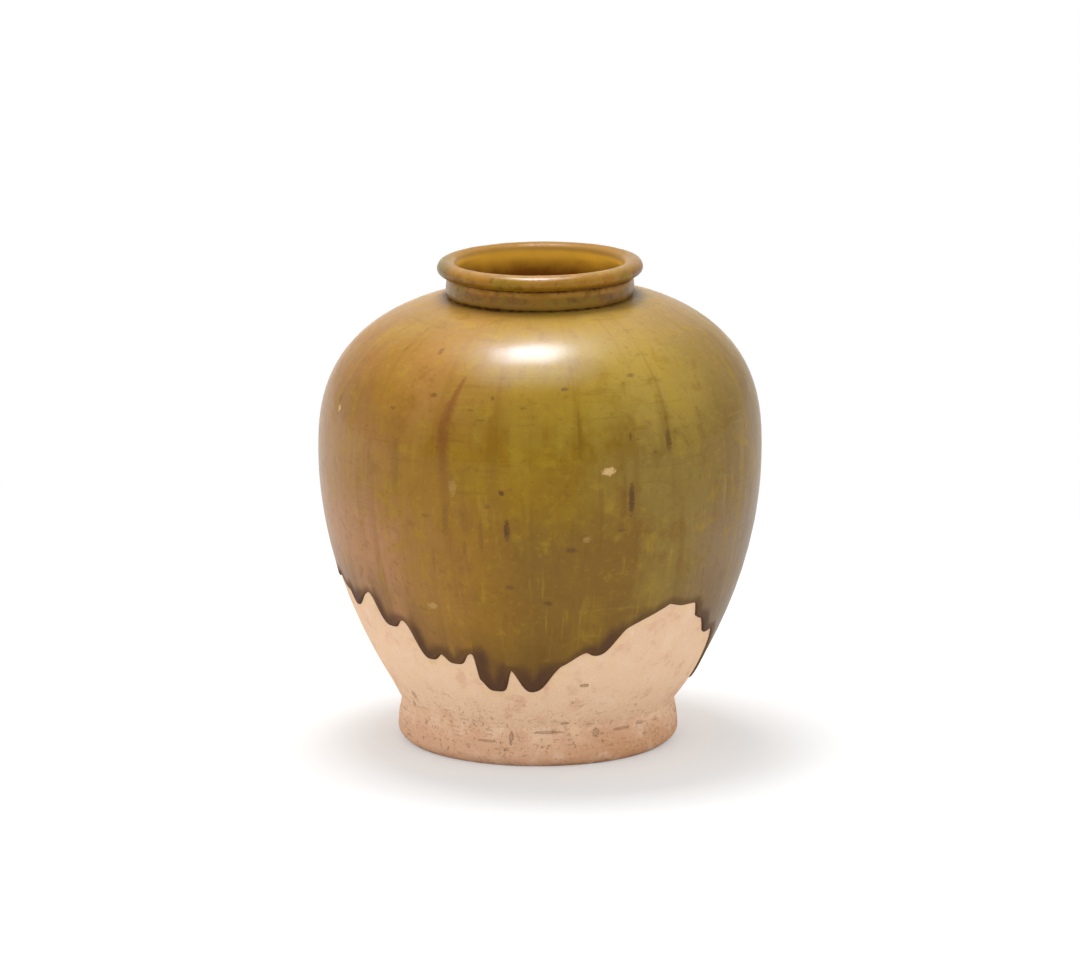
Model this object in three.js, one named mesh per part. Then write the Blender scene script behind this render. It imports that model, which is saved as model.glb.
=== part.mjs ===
import * as THREE from 'three';

// An amber-glazed storage jar: a round-shouldered body of two thrown bowls on a flared foot,
// with a low ringed neck and a rolled lip. The glaze stops in runs and drips above the bare foot.
// Millimetres, +Z up. The origin is the centre of the flat underside and the front faces -Y.

// Foot
const footHeight = 18.2;
const footRadius = 63.3;
const standingRadius = 59.5;
const bevelHeight = 5;
const waistRadius = 61.4;
const floorThickness = 11.5;
const floorFillet = 5;

// Body
const girthRadius = 99.3;
const girthHeight = 134;
const bellyJointDrop = 14; // the two bowls meet this far below the girth
const shoulderHeight = 202.4;
const wallAtFoot = 9;
const wallAtBelly = 7;
const wallAtNeck = 6;
const lowerFullness = 2.04; // power of the curve from the girth down to the waist
const shoulderFullness = 2.5; // power of the superellipse from the girth up to the neck

// Neck and lip
const boreRadius = 37.4;
const boreFillet = 3;
const neckWall = 4.2;
const neckHeight = 10.2;
const neckGroove = 0.8; // how deep the band is cut in where it meets the shoulder
const lipGroove = 1; // how deep it is cut in under the lip
const neckTaper = 0.25; // the band's upper edge lies this far inside its lower edge
const neckLedge = 1; // the shoulder's flat seat reaches this far past the neck
const lipOverhang = 0.5; // the middle of the roll lies this far outside the neck
const lipRollRadius = 3.25;
const lipLift = 0.15; // the roll's underside above the neck's top
const lipSeamAngle = 120; // where the two coats of glaze meet on the roll, in degrees from level
const throatAngle = 170; // where the roll runs into the throat

// Luted joints: a ring of slip lies in a groove scored into both faces
const luteHalfWidth = 2.1;
const luteDepth = 1.7;
const neckLuteHalfWidth = 1.25;
const neckLuteDepth = 1;
const gap = 0.3; // clearance wherever one piece lies inside or over another

// Glaze
const glazeThickness = 0.55;
const mouthGlazeThickness = 0.5;
const mouthGlazeReach = 12; // how far the mouth's coat spreads under the shoulder
const glazeLine = 80; // height of the highest bare notch
const beadThickness = 1.3;
const beadWidth = 7;
const runTopMargin = 6; // level coat between the highest bead and the turned part of the coat
const stationSpacing = 2; // least distance between two rings of the coat above its runs
const columnSpacing = 5; // along the run edge

const turns = 40; // facets round every turned piece

// The run edge as corners and turning points, all round the jar: the angle from the front in degrees,
// how far the glaze has run below the glaze line, and how rounded the edge is there (1 is a sharp notch,
// 3 a fat drip). Angles grow to the viewer's right.
const runEdge = [
  [-98, 9, 2.4], [-90, 1, 1.4], [-84, 4, 2], [-78, 0, 1.3],
  [-71.5, 6, 2.5], [-68, 11.9, 1.6], [-57.1, 2.6, 1.4], [-49.8, 16.6, 3.2], [-44.3, 12.5, 1.6],
  [-36.8, 29.7, 2.8], [-32.4, 26.2, 0.9], [-27.6, 30.2, 3.4], [-21.4, 24.3, 2], [-20.5, 37, 0.9],
  [-14.2, 42.6, 4], [-9.2, 31.4, 0.9], [-2.9, 42.5, 2.2], [7.1, 29.1, 1.1], [14.3, 22.9, 1.3],
  [17.5, 24.7, 2.2], [25.9, 12.6, 0.9], [39.4, 3, 0.9], [46, 5.1, 2], [50, 5.2, 1.5],
  [52.2, 12.2, 1], [55.5, 14.3, 1.5], [60, 22, 1], [63.5, 22.5, 2], [68, 21, 1.3],
  [78, 45, 1], [87, 51.5, 2.8], [97, 28, 1.2], [104, 37, 2.6], [111, 20, 1.1],
  [119, 25.5, 2.2], [126, 17, 1.2], [137, 8.5, 1.2], [146, 14, 2.6], [152, 10, 1.2],
  [160, 32, 2.8], [166, 25, 1.1], [172, 29, 2.4], [179, 13, 1.2], [190, 6, 1.4],
  [199, 10.5, 2.2], [205, 7, 1.2], [215, 23, 2.6], [221, 17.5, 1.2], [228, 39, 3],
  [235, 26, 1.1], [242, 30.5, 2.2], [251, 13, 1.3],
];

// Across the bead, from the edge up: share of the bead's width, and thickness
const beadSection = [
  [0, 0.2],
  [0.1, 0.75 * beadThickness],
  [0.3, beadThickness],
  [1, glazeThickness],
];

const degrees = Math.PI / 180;

// Places worked out from the driving dimensions
const bellyJointHeight = girthHeight - bellyJointDrop;
const neckRadius = boreRadius + neckWall;
const neckWaistRadius = neckRadius - neckGroove;
const lipRingRadius = neckRadius + lipOverhang;
const seatEdgeRadius = neckRadius + neckLedge;
const lipSeatHeight = shoulderHeight + neckHeight;
const lipCentreHeight = lipSeatHeight + lipLift + lipRollRadius;
const shoulderRise = (shoulderHeight - girthHeight)
  / Math.pow(1 - Math.pow(seatEdgeRadius / girthRadius, shoulderFullness), 1 / shoulderFullness);
const neckLuteRadius = (boreRadius + neckWaistRadius) / 2;

function between(from, to, share) {
  return from + (to - from) * share;
}

// Outer radius of the foot and the lower body at a height, up to the girth
function lowerRadius(z) {
  if (z < bevelHeight) {
    return footRadius - (footRadius - standingRadius) * Math.pow(1 - z / bevelHeight, 2);
  }
  if (z < footHeight) {
    const up = (z - bevelHeight) / (footHeight - bevelHeight);
    return footRadius - (footRadius - waistRadius) * up * up;
  }
  const down = Math.max(0, girthHeight - z) / (girthHeight - footHeight);
  return girthRadius - (girthRadius - waistRadius) * Math.pow(down, lowerFullness);
}

function lowerSlope(z) {
  const step = 0.01;
  return (lowerRadius(z + step) - lowerRadius(z)) / step;
}

function wallBelowGirth(z) {
  return between(wallAtFoot, wallAtBelly, (z - footHeight) / (girthHeight - footHeight));
}

// Inner radius of the lower body: the wall is measured square to the outer face
function lowerInnerRadius(z) {
  return lowerRadius(z) - wallBelowGirth(z) * Math.hypot(1, lowerSlope(z));
}

// Points of a superellipse over the girth, from radius a at the girth to the radius where it ends
function shoulderCurve(a, rise, endRadius, steps) {
  const endAngle = Math.acos(Math.pow(endRadius / a, shoulderFullness / 2));
  const points = [];
  for (let i = 0; i <= steps; i += 1) {
    const angle = (endAngle * i) / steps;
    points.push([
      a * Math.pow(Math.cos(angle), 2 / shoulderFullness),
      girthHeight + rise * Math.pow(Math.sin(angle), 2 / shoulderFullness),
    ]);
  }
  return points;
}

function wallPoints(radiusAt, fromHeight, toHeight, steps) {
  const points = [];
  for (let i = 0; i <= steps; i += 1) {
    const z = between(fromHeight, toHeight, i / steps);
    points.push([radiusAt(z), z]);
  }
  return points;
}

function arc(centreR, centreZ, radius, fromAngle, toAngle, steps) {
  const points = [];
  for (let i = 0; i <= steps; i += 1) {
    const angle = between(fromAngle, toAngle, i / steps) * degrees;
    points.push([centreR + radius * Math.cos(angle), centreZ + radius * Math.sin(angle)]);
  }
  return points;
}

// A groove scored into a flat face, from its outer side to its inner side; depth is negative downwards
function groove(radius, z, halfWidth, depth) {
  return [[radius + halfWidth, z], [radius, z + depth], [radius - halfWidth, z]];
}

// The outlines that neighbouring pieces share
const lowerOuter = wallPoints(lowerRadius, footHeight, bellyJointHeight, 7);
const bellyOuter = wallPoints(lowerRadius, bellyJointHeight, girthHeight, 1);
const shoulderOuter = shoulderCurve(girthRadius, shoulderRise, seatEdgeRadius, 7);
const neckOuter = [
  [neckWaistRadius, shoulderHeight],
  [neckRadius, between(shoulderHeight, lipSeatHeight, 0.2)],
  [neckRadius - neckTaper, between(shoulderHeight, lipSeatHeight, 0.72)],
  [neckRadius - lipGroove, between(shoulderHeight, lipSeatHeight, 0.9)],
  [neckWaistRadius, lipSeatHeight],
];
const lipOuter = arc(lipRingRadius, lipCentreHeight, lipRollRadius, -90, lipSeamAngle, 5);
const lipInner = arc(lipRingRadius, lipCentreHeight, lipRollRadius, lipSeamAngle, throatAngle, 1);
const lipThroat = [
  [between(boreRadius, lipRingRadius - lipRollRadius, 0.3), between(lipSeatHeight, lipCentreHeight, 0.45)],
  [boreRadius, lipSeatHeight],
];

const baseInnerRadius = lowerInnerRadius(footHeight);
const bellyInnerRadius = lowerInnerRadius(bellyJointHeight);
const baseLuteRadius = (waistRadius + baseInnerRadius) / 2;
const bellyLuteRadius = (lowerRadius(bellyJointHeight) + bellyInnerRadius) / 2;

// Inside of the shoulder, from the bore down to the girth
const shoulderInner = shoulderCurve(
  girthRadius - wallAtBelly,
  shoulderRise - wallAtNeck,
  boreRadius + boreFillet,
  5,
).reverse();
const boreFootHeight = shoulderInner[0][1] + boreFillet;

function footProfile() {
  const fillet = Math.min(floorFillet, footHeight - floorThickness);
  return [
    [0, 0],
    ...wallPoints(lowerRadius, 0, bevelHeight, 2),
    ...wallPoints(lowerRadius, bevelHeight, footHeight, 2).slice(1),
    ...groove(baseLuteRadius, footHeight, luteHalfWidth, -luteDepth),
    [baseInnerRadius, footHeight],
    ...arc(baseInnerRadius - fillet, floorThickness + fillet, fillet, -20, -90, 2),
    [0, floorThickness],
  ];
}

function lowerBodyProfile() {
  return [
    ...lowerOuter,
    ...groove(bellyLuteRadius, bellyJointHeight, luteHalfWidth, -luteDepth),
    ...wallPoints(lowerInnerRadius, bellyJointHeight, footHeight, 4),
    ...groove(baseLuteRadius, footHeight, luteHalfWidth, luteDepth).reverse(),
  ];
}

function upperBodyProfile() {
  return [
    ...bellyOuter,
    ...shoulderOuter.slice(1),
    ...groove(neckLuteRadius, shoulderHeight, neckLuteHalfWidth, -neckLuteDepth),
    [boreRadius, shoulderHeight],
    [boreRadius, boreFootHeight],
    ...shoulderInner,
    [bellyInnerRadius, bellyJointHeight],
    ...groove(bellyLuteRadius, bellyJointHeight, luteHalfWidth, luteDepth).reverse(),
  ];
}

function neckProfile() {
  return [
    ...neckOuter,
    [boreRadius, lipSeatHeight],
    [boreRadius, shoulderHeight],
    ...groove(neckLuteRadius, shoulderHeight, neckLuteHalfWidth, neckLuteDepth).reverse(),
  ];
}

function lipProfile() {
  return [
    [neckWaistRadius, lipSeatHeight],
    ...lipOuter,
    ...lipInner.slice(1),
    ...lipThroat,
  ];
}

// The slip fills both grooves, less the gap measured square to their faces
function lutingRing(radius, z, halfWidth, depth) {
  const shrink = (gap * Math.hypot(halfWidth, depth)) / (halfWidth * depth);
  const width = halfWidth * (1 - shrink);
  const height = depth * (1 - shrink);
  return [[radius, z - height], [radius + width, z], [radius, z + height], [radius - width, z]];
}

// Moves an open path to its left by a distance, with mitred corners
function offsetPath(path, distance) {
  const normals = [];
  for (let i = 0; i + 1 < path.length; i += 1) {
    const dr = path[i + 1][0] - path[i][0];
    const dz = path[i + 1][1] - path[i][1];
    const length = Math.hypot(dr, dz);
    normals.push([-dz / length, dr / length]);
  }
  return path.map((point, i) => {
    const before = normals[Math.max(0, i - 1)];
    const after = normals[Math.min(i, normals.length - 1)];
    const sum = [before[0] + after[0], before[1] + after[1]];
    const mitre = (2 * distance) / (sum[0] * sum[0] + sum[1] * sum[1]);
    return [point[0] + sum[0] * mitre, point[1] + sum[1] * mitre];
  });
}

function turned(profile) {
  const closed = profile.map(([r, z]) => new THREE.Vector2(r, z));
  if (profile[0][0] > 0) {
    closed.push(closed[0].clone());
  }
  const geometry = new THREE.LatheGeometry(closed, turns);
  geometry.rotateX(Math.PI / 2);
  return geometry;
}

// Ease between two turning points of the run edge, each with its own roundness
function ease(share, roundHere, roundThere) {
  const rise = Math.pow(share, roundHere);
  const rest = Math.pow(1 - share, roundThere);
  return rise / (rise + rest);
}

// The run edge as columns: closer together where the edge is steep
function runColumns() {
  const columns = [];
  runEdge.forEach(([angle, drop, roundness], i) => {
    const wrapped = i + 1 === runEdge.length;
    const [nextAngle, nextDrop, nextRoundness] = runEdge[(i + 1) % runEdge.length];
    const sweep = nextAngle - angle + (wrapped ? 360 : 0);
    const across = sweep * degrees * lowerRadius(glazeLine - drop);
    const steps = Math.max(2, Math.round(Math.hypot(across, nextDrop - drop) / columnSpacing));
    for (let k = 0; k < steps; k += 1) {
      columns.push({
        angle: (angle + (sweep * k) / steps) * degrees,
        edge: glazeLine - between(drop, nextDrop, ease(k / steps, roundness, nextRoundness)),
      });
    }
  });
  return columns;
}

// A point over the lower body at a height of the clay, lifted square to it
function overClay(z, lift) {
  const slope = lowerSlope(z);
  const length = Math.hypot(1, slope);
  return [lowerRadius(z) + lift / length, z - (lift * slope) / length];
}

function ringOf(angles, pointAt) {
  return angles.map((angle, i) => {
    const [r, z] = pointAt(i);
    return { angle, position: [r * Math.sin(angle), -r * Math.cos(angle), z] };
  });
}

// Joins each ring to the next and the last to the first, whatever their numbers of points
function loopOfRings(rings) {
  const positions = [];
  const starts = [];
  rings.forEach((ring) => {
    starts.push(positions.length / 3);
    ring.forEach((point) => positions.push(...point.position));
  });
  const index = [];
  rings.forEach((ring, k) => {
    const next = (k + 1) % rings.length;
    const other = rings[next];
    const here = (i) => starts[k] + (i % ring.length);
    const there = (j) => starts[next] + (j % other.length);
    const reach = (list, n) => list[n % list.length].angle + (n >= list.length ? 2 * Math.PI : 0);
    let i = 0;
    let j = 0;
    while (i < ring.length || j < other.length) {
      const stepHere = j >= other.length
        || (i < ring.length && reach(ring, i + 1) <= reach(other, j + 1));
      if (stepHere) {
        index.push(here(i), there(j), here(i + 1));
        i += 1;
      } else {
        index.push(here(i), there(j), there(j + 1));
        j += 1;
      }
    }
  });
  const geometry = new THREE.BufferGeometry();
  geometry.setAttribute('position', new THREE.Float32BufferAttribute(positions, 3));
  geometry.setIndex(index);
  geometry.computeVertexNormals();
  return geometry;
}

// The coat over the lip, neck, shoulder and belly, down to its runs, drips and bead
function outerGlaze() {
  const runTop = glazeLine + beadWidth + runTopMargin;
  const clayPath = [
    ...lipOuter.slice().reverse(),
    ...neckOuter.slice().reverse(),
    ...shoulderOuter.slice().reverse(),
    ...lowerOuter.slice().reverse().filter((point) => point[1] > runTop + stationSpacing),
    [lowerRadius(runTop), runTop],
  ];
  const firstTurn = Math.round((runEdge[0][0] / 360) * turns);
  const lathed = Array.from({ length: turns }, (_, i) => (2 * Math.PI * (firstTurn + i)) / turns);
  const outside = offsetPath(clayPath, gap + glazeThickness);
  const inside = offsetPath(clayPath, gap);
  const columns = runColumns();
  const angles = columns.map((column) => column.angle);
  const heightAt = (column, share) => between(columns[column].edge + beadWidth, runTop, share);
  const outsideShares = [2 / 3, 1 / 3];
  const insideShares = [0, 1 / 4, 1 / 2, 3 / 4];
  return loopOfRings([
    ...outside.map((point) => ringOf(lathed, () => point)),
    ...outsideShares.map((share) => ringOf(
      angles,
      (i) => overClay(heightAt(i, share), gap + glazeThickness),
    )),
    ...beadSection.slice().reverse().map(([across, thickness]) => ringOf(
      angles,
      (i) => overClay(columns[i].edge + across * beadWidth, gap + thickness),
    )),
    ringOf(angles, (i) => overClay(columns[i].edge, gap)),
    ...insideShares.map((share) => ringOf(angles, (i) => overClay(heightAt(i, share), gap))),
    ...inside.slice().reverse().map((point) => ringOf(lathed, () => point)),
  ]);
}

// The coat inside the lip and the neck, which ends a little way under the shoulder
function mouthGlazeProfile() {
  const start = lipSeamAngle + gap / lipRollRadius / degrees;
  const [nearR, nearZ] = shoulderInner[0];
  const [farR, farZ] = shoulderInner[1];
  const spread = mouthGlazeReach / (farR - nearR);
  const clayPath = [
    ...arc(lipRingRadius, lipCentreHeight, lipRollRadius, start, throatAngle, 1),
    ...lipThroat,
    [boreRadius, boreFootHeight],
    [nearR, nearZ],
    [between(nearR, farR, spread), between(nearZ, farZ, spread)],
  ];
  const against = offsetPath(clayPath, -gap);
  const outside = offsetPath(clayPath, -gap - mouthGlazeThickness);
  return [...against.slice().reverse(), ...outside];
}

const clay = { color: '#dcb896', roughness: 0.85 };
const footClay = { color: '#c89a76', roughness: 0.9 };
const slip = { color: '#cfae90', roughness: 0.9 };
const amber = { color: '#8a6a1e', roughness: 0.12 };
const ochre = { color: '#9a6c22', roughness: 0.15 };

function piece(name, geometry, finish) {
  const mesh = new THREE.Mesh(geometry, new THREE.MeshStandardMaterial({ ...finish, metalness: 0 }));
  mesh.name = name;
  return mesh;
}

const jar = new THREE.Group();
jar.add(piece('foot_base', turned(footProfile()), footClay));
jar.add(piece('lower_body', turned(lowerBodyProfile()), clay));
jar.add(piece('upper_body', turned(upperBodyProfile()), clay));
jar.add(piece('neck_ring', turned(neckProfile()), clay));
jar.add(piece('rolled_lip', turned(lipProfile()), clay));
jar.add(piece(
  'base_joint_slip',
  turned(lutingRing(baseLuteRadius, footHeight, luteHalfWidth, luteDepth)),
  slip,
));
jar.add(piece(
  'belly_joint_slip',
  turned(lutingRing(bellyLuteRadius, bellyJointHeight, luteHalfWidth, luteDepth)),
  slip,
));
jar.add(piece(
  'neck_joint_slip',
  turned(lutingRing(neckLuteRadius, shoulderHeight, neckLuteHalfWidth, neckLuteDepth)),
  slip,
));
jar.add(piece('outer_glaze', outerGlaze(), amber));
jar.add(piece('mouth_glaze', turned(mouthGlazeProfile()), ochre));

export default jar;
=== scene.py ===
# %% [markdown]
# # A glazed storage jar
# The real jar is one fired pot: two thrown bowls joined at the belly, on a thick turned foot, with
# a low neck and a rolled lip. Amber glaze was poured over the top and ran down in drips, so the
# lower wall and the foot are bare clay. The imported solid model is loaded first. It fixes where
# every piece goes and how large it may be.

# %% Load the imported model
import math
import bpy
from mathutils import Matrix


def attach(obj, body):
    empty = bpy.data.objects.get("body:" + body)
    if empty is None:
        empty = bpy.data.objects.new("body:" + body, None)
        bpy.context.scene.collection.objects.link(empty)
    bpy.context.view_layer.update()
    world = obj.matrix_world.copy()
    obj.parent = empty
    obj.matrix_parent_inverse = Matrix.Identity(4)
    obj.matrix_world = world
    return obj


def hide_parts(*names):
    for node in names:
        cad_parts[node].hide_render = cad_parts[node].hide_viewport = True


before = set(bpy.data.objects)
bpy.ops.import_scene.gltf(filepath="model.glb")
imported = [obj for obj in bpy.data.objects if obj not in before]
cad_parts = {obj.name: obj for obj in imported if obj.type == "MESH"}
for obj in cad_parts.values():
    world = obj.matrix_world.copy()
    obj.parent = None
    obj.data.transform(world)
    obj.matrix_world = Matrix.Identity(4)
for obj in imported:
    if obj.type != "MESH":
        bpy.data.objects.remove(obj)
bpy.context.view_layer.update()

from types import SimpleNamespace

import bmesh
import bpy
import numpy as np

# %% [markdown]
# ## Sizes
# The solid model's driving sizes, in metres. A piece made from them again, with more facets and
# with the marks of the hand, stays where its solid is.

# %% Sizes of the clay
mm = 0.001
degree = math.pi / 180
foot_height = 18.2 * mm
foot_radius = 63.3 * mm
standing_radius = 59.5 * mm
bevel_height = 5 * mm
waist_radius = 61.4 * mm
waist_fillet = 2.6 * mm
waist_fill = 0.5 * mm
floor_thickness = 11.5 * mm
girth_radius = 99.3 * mm
girth_height = 134 * mm
belly_joint = 120 * mm
shoulder_height = 202.4 * mm
wall_at_foot = 9 * mm
wall_at_belly = 7 * mm
wall_at_neck = 6 * mm
lower_fullness = 2.04
shoulder_fullness = 2.5
bore_radius = 37.4 * mm
bore_fillet = 3 * mm
neck_radius = 41.6 * mm
neck_groove = 0.8 * mm
neck_ledge = 1 * mm
neck_height = 10.2 * mm
lip_ring_radius = 41.8 * mm
lip_half_width = 3.95 * mm
lip_half_height = 3.0 * mm
lip_lift = 0.1 * mm

lip_seat = shoulder_height + neck_height
lip_centre = lip_seat + lip_lift + lip_half_height
seat_edge_radius = neck_radius + neck_ledge
print("lip seat at", round(lip_seat / mm, 1), "mm, roll centre at", round(lip_centre / mm, 1), "mm")

# %% [markdown]
# ## The outline as rules
# A potter's curve is smooth, so a short rule describes it better than many points: below the girth
# a power of the distance down, above it a superellipse, which gives this jar its full, flat
# shoulder.

# %% Wall below and above the girth
def between(start, end, share):
    return start + (end - start) * share


def ruled_radius(z):
    if z < bevel_height:
        return foot_radius - (foot_radius - standing_radius) * (1 - z / bevel_height) ** 2
    if z < foot_height:
        up = (z - bevel_height) / (foot_height - bevel_height)
        return foot_radius - (foot_radius - waist_radius) * up * up
    down = max(0, girth_height - z) / (girth_height - foot_height)
    return girth_radius - (girth_radius - waist_radius) * down ** lower_fullness


def lower_radius(z):
    """The rule, with the sharp waist filled a little, as a wet thumb leaves it."""
    near_waist = max(0, 1 - abs(z - foot_height) / waist_fillet)
    return ruled_radius(z) + waist_fill * near_waist ** 2


def inner_radius(z):
    """The wall's thickness is set off at right angles to the rule."""
    step = 0.01 * mm
    slope = (ruled_radius(z + step) - ruled_radius(z)) / step
    wall = between(wall_at_foot, wall_at_belly, (z - foot_height) / (girth_height - foot_height))
    return ruled_radius(z) - wall * math.hypot(1, slope)


def shoulder_curve(girth, rise, end_radius, steps):
    end_angle = math.acos((end_radius / girth) ** (shoulder_fullness / 2))
    power = 2 / shoulder_fullness
    angles = [end_angle * i / steps for i in range(steps + 1)]
    return [
        (girth * math.cos(a) ** power, girth_height + rise * math.sin(a) ** power) for a in angles
    ]


print("the wall's radius at the belly joint:", round(lower_radius(belly_joint) / mm, 1), "mm")

# %% Rows of points
def spaced(start, end, steps):
    return [between(start, end, i / steps) for i in range(steps + 1)]


def wall_points(radius_at, start, end, steps):
    return [(radius_at(z), z) for z in spaced(start, end, steps)]


def arc(centre_r, centre_z, half_width, half_height, start, end, steps):
    angles = [math.radians(a) for a in spaced(start, end, steps)]
    return [
        (centre_r + half_width * math.cos(a), centre_z + half_height * math.sin(a)) for a in angles
    ]


def lip_arc(start, end, steps):
    return arc(lip_ring_radius, lip_centre, lip_half_width, lip_half_height, start, end, steps)


shoulder_rise = (shoulder_height - girth_height) / (
    1 - (seat_edge_radius / girth_radius) ** shoulder_fullness
) ** (1 / shoulder_fullness)
print("the shoulder's full rise would be", round(shoulder_rise / mm, 1), "mm")

# %% [markdown]
# ## Wiring nodes
# Shaders and Geometry Nodes are both graphs, hard to read when written node by node. So one small
# class wraps a socket: sums on it add Math nodes, and one method adds any other node.

# %% A socket that can be calculated with
def math_method(operation, swapped=False):
    """A method that adds one Math node; swapped is for a number that stands before the socket."""
    def method(self, value):
        pair = (value, self) if swapped else (self, value)
        return self.math(operation, *pair)
    return method


class Wire:
    def __init__(self, tree, socket=None):
        self.tree = tree
        self.socket = socket

    def node(self, kind, settings=None, sockets=None, output=0):
        made = self.tree.nodes.new(kind)
        for name, value in (settings or {}).items():
            setattr(made, name, value)
        for name, value in (sockets or {}).items():
            if isinstance(value, Wire):
                self.tree.links.new(value.socket, made.inputs[name])
            else:
                made.inputs[name].default_value = value
        return Wire(self.tree, made.outputs[output] if len(made.outputs) else None)

    def into(self, kind, settings=None, output=0, **sockets):
        """A node that takes this wire as its first input."""
        return self.node(kind, settings, {0: self, **sockets}, output)

    def other(self, output):
        return Wire(self.tree, self.socket.node.outputs[output])

    def math(self, operation, *values):
        return self.node("ShaderNodeMath", {"operation": operation}, dict(enumerate(values)))

    __add__ = math_method("ADD")
    __radd__ = math_method("ADD", swapped=True)
    __sub__ = math_method("SUBTRACT")
    __rsub__ = math_method("SUBTRACT", swapped=True)
    __mul__ = math_method("MULTIPLY")
    __rmul__ = math_method("MULTIPLY", swapped=True)
    __truediv__ = math_method("DIVIDE")
    __rtruediv__ = math_method("DIVIDE", swapped=True)
    __pow__ = math_method("POWER")
    least = math_method("MINIMUM")
    most = math_method("MAXIMUM")

    def away(self):
        """How far from zero, on either side."""
        return self.math("ABSOLUTE", self)

    def fade(self, start, end):
        """0 at start, 1 at end, with soft ends; start may be the larger one."""
        limits = {"Value": self, "From Min": start, "From Max": end}
        return self.node("ShaderNodeMapRange", {"interpolation_type": "SMOOTHSTEP"}, limits)

    def band(self, low, full_low, full_high, high):
        """1 between the two inner limits, 0 outside the two outer ones."""
        return self.fade(low, full_low) * self.fade(high, full_high)


print("wires are ready")

# %% Nodes that are used often
def split(vector):
    x = vector.into("ShaderNodeSeparateXYZ")
    return x, x.other("Y"), x.other("Z")


def join(x, y, z):
    return x.into("ShaderNodeCombineXYZ", Y=y, Z=z)


def scaled(vector, factor):
    return vector.into("ShaderNodeVectorMath", {"operation": "SCALE"}, Scale=factor)


def noise(place, scale, detail=2.0, roughness=0.5, distortion=0.0):
    return place.into(
        "ShaderNodeTexNoise", Scale=scale, Detail=detail, Roughness=roughness, Distortion=distortion
    )


print("node helpers are ready")

# %% [markdown]
# ## Colours
# Colours are written as a screen shows them, 0 to 255, and turned into the linear light that the
# shaders work in. A finish is a ground with tones laid over it, each through a mask of 0 to 1. That
# takes Mix nodes, because a Math node would turn a colour grey.

# %% Colour helpers
def paint(red, green, blue):
    linear = []
    for value in (red, green, blue):
        share = value / 255
        linear.append(share / 12.92 if share <= 0.04045 else ((share + 0.055) / 1.055) ** 2.4)
    return (*linear, 1.0)


def mixed(first, second, share):
    start = next(item for item in (share, first, second) if isinstance(item, Wire))
    settings = {"data_type": "RGBA", "clamp_factor": True}
    return start.node("ShaderNodeMix", settings, {0: share, 6: first, 7: second}, output=2)


def layered(ground, layers):
    """Tones laid over a ground one after another, each as far as its mask says."""
    for tone, mask in layers:
        ground = mixed(ground, paint(*tone), mask)
    return ground


print("a mid amber in linear light:", [round(c, 3) for c in paint(145, 103, 12)])

# %% Material helpers
def start_material(name):
    material = bpy.data.materials.new(name)
    material.use_nodes = True
    material.node_tree.nodes.clear()
    return material, Wire(material.node_tree)


def finish_material(start, sockets):
    start.node("ShaderNodeBsdfPrincipled", sockets=sockets).into("ShaderNodeOutputMaterial")


def bumped(relief, strength):
    """A bump whose relief is in millimetres."""
    sockets = {"Strength": strength, "Distance": mm, "Height": relief}
    return relief.node("ShaderNodeBump", sockets=sockets)


def mesh_number(start, label):
    return start.node("ShaderNodeAttribute", {"attribute_name": label}, output="Fac")


def places(start):
    """The place in mm, its angle from the front in degrees, and its distance from the axis."""
    at = SimpleNamespace(place=scaled(start.node("ShaderNodeTexCoord", output="Object"), 1 / mm))
    at.x, at.y, at.z = split(at.place)
    at.angle = at.x.math("ARCTAN2", at.x, 0.0 - at.y) * (180 / math.pi)
    at.radius = at.x.math("SQRT", at.x * at.x + at.y * at.y)
    return at


print("material helpers are ready")

# %% [markdown]
# ## The bare clay
# The body is a pale, sandy earthenware: cream on the wall, pinker and browner on the foot. The
# turning tool dragged grit round the wall, which left broken level scratches, and burnt-out bits
# left ragged dark pits. All of it comes from noises in real millimetres; the level ones are
# squeezed along the height.

# %% Masks for lines, pits and marks
def level_lines(place, scale):
    """Noise that changes quickly with height and slowly round the wall."""
    x, y, z = split(place)
    return noise(join(x * 0.06, y * 0.06, z), scale, 3.0, 0.6)


def pits(place, spacing, size, share):
    """Small pits: 1 at the middle of a pit, in the given share of the cells of a grid."""
    grid = place.into("ShaderNodeTexVoronoi", Scale=1 / spacing)
    chosen = split(grid.other("Color"))[0].fade(1 - share, 1.02 - share)
    return grid.fade(size / spacing, 0.3 * size / spacing) * chosen


def ragged_place(place, scale, reach):
    """The place pushed about by a noise, so that a round shape gets a ragged edge."""
    push = noise(place, scale).other("Color")
    halves = (0.5, 0.5, 0.5)
    middle = place.node("ShaderNodeVectorMath", {"operation": "SUBTRACT"}, {0: push, 1: halves})
    spread = scaled(middle, reach)
    return place.node("ShaderNodeVectorMath", {"operation": "ADD"}, {0: place, 1: spread})


def mark_mask(at, marks, ragged):
    """An oval for each mark, with a ragged edge."""
    total = None
    for degrees, height, half_width, half_height, strength in marks:
        across = (at.angle - degrees) * degree * at.radius / half_width
        up = (at.z - height) / half_height
        spot = (across * across + up * up + ragged).fade(1.6, 0.3) * strength
        total = spot if total is None else total.most(spot)
    return total


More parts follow.
